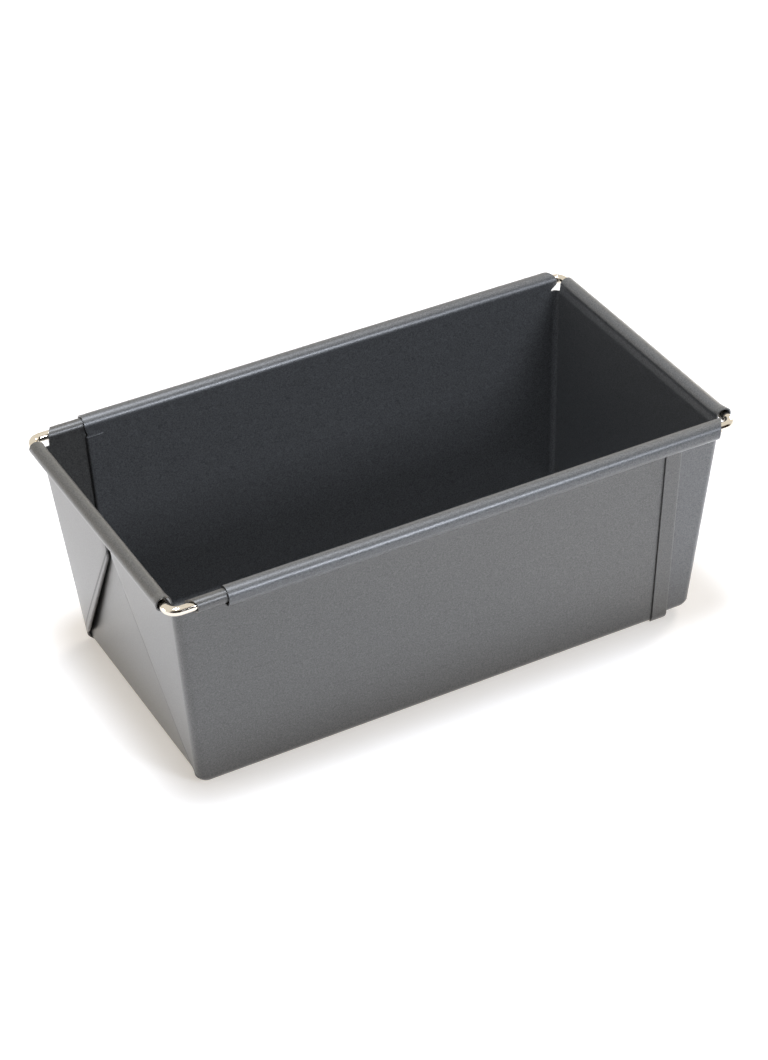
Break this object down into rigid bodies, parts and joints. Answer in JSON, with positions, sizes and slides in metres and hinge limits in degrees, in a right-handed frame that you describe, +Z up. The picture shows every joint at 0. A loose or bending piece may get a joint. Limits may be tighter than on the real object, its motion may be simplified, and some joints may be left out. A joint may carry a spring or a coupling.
{
  "type": "adjustable loaf pan",
  "caption": "Open rectangular loaf pan in two nested halves that slide apart to lengthen it, with envelope-folded corners and wire-reinforced rolled rims.",
  "frame": {"origin": "middle of the pan as it stands closed, on the surface under it", "axes": "+X along the pan, from the outer half's end wall to the inner half's end wall and the way the inner half slides out; +Z up out of the open top"},
  "size_m": [0.2046, 0.115, 0.0807],
  "materials": {
    "nonstick_steel": "dark grey non-stick coating on steel sheet, satin with a fine metallic grain",
    "plated_wire": "bright nickel-plated steel wire"
  },
  "bodies": {
    "outer_half": {"outer_pan_sheet": "nonstick_steel", "outer_rim_wire": "plated_wire"},
    "inner_half": {"inner_pan_sheet": "nonstick_steel", "inner_rim_wire": "plated_wire"}
  },
  "joints": [
    {"name": "length_slide", "type": "slide", "parent": "outer_half", "child": "inner_half", "axis": [1, 0, 0], "range_m": [-0.0065, 0.145]}
  ]
}
